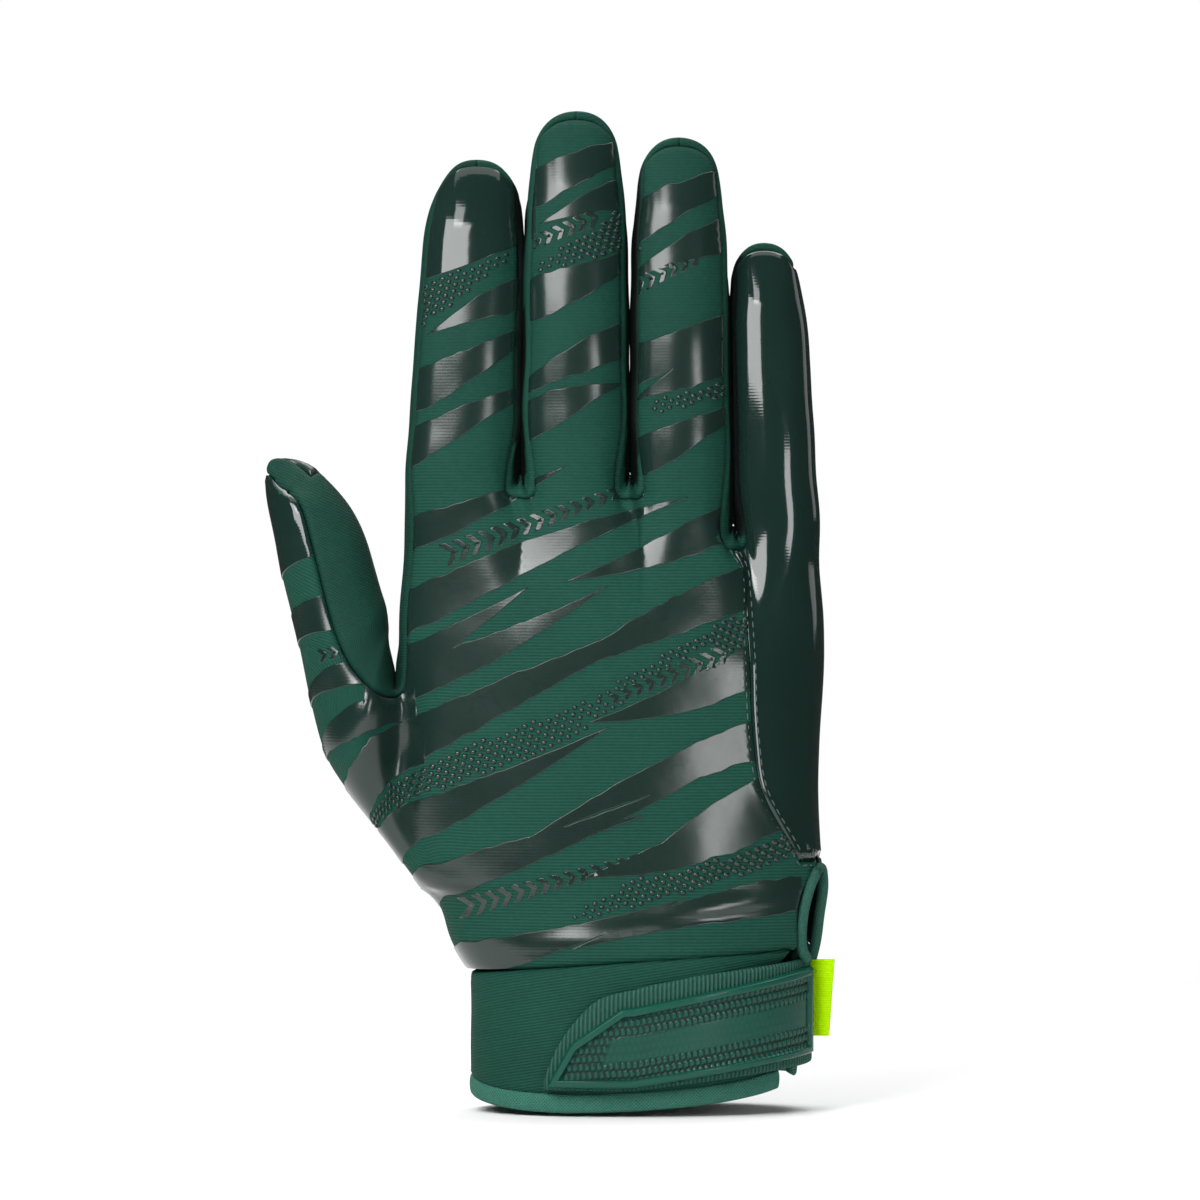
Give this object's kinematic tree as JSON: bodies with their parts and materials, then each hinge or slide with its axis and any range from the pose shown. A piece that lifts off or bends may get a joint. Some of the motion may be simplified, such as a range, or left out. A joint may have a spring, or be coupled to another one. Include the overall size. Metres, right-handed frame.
{
  "type": "football glove",
  "caption": "Right-hand football receiver's glove in its worn shape: knit back with printed gloss film, grip palm, slit cuff with a wrapped strap.",
  "frame": {"origin": "centre of the wrist opening, at the cuff's lower rim", "axes": "+Z along the fingers, -Y out of the back of the hand, -X towards the thumb"},
  "size_m": [0.1333, 0.0552, 0.2334],
  "materials": {
    "green_knit": "ribbed knit",
    "dark_gloss": "smooth gloss film",
    "palm_grip": "tacky semi-gloss",
    "tape": "fine ribbed tape",
    "badge_rubber": "moulded satin",
    "lime_label": "woven matt"
  },
  "bodies": {
    "root": {"back_panel": "green_knit", "pinky_panel": "dark_gloss", "palm_panel": "palm_grip", "fourchette_thumb_index": "green_knit", "fourchette_index_middle": "green_knit", "fourchette_middle_ring": "green_knit", "fourchette_ring_pinky": "green_knit", "cuff_band": "green_knit", "cuff_hem": "tape", "slit_tape": "tape", "wrist_strap": "tape", "strap_badge": "badge_rubber", "side_tag": "lime_label"}
  },
  "joints": []
}
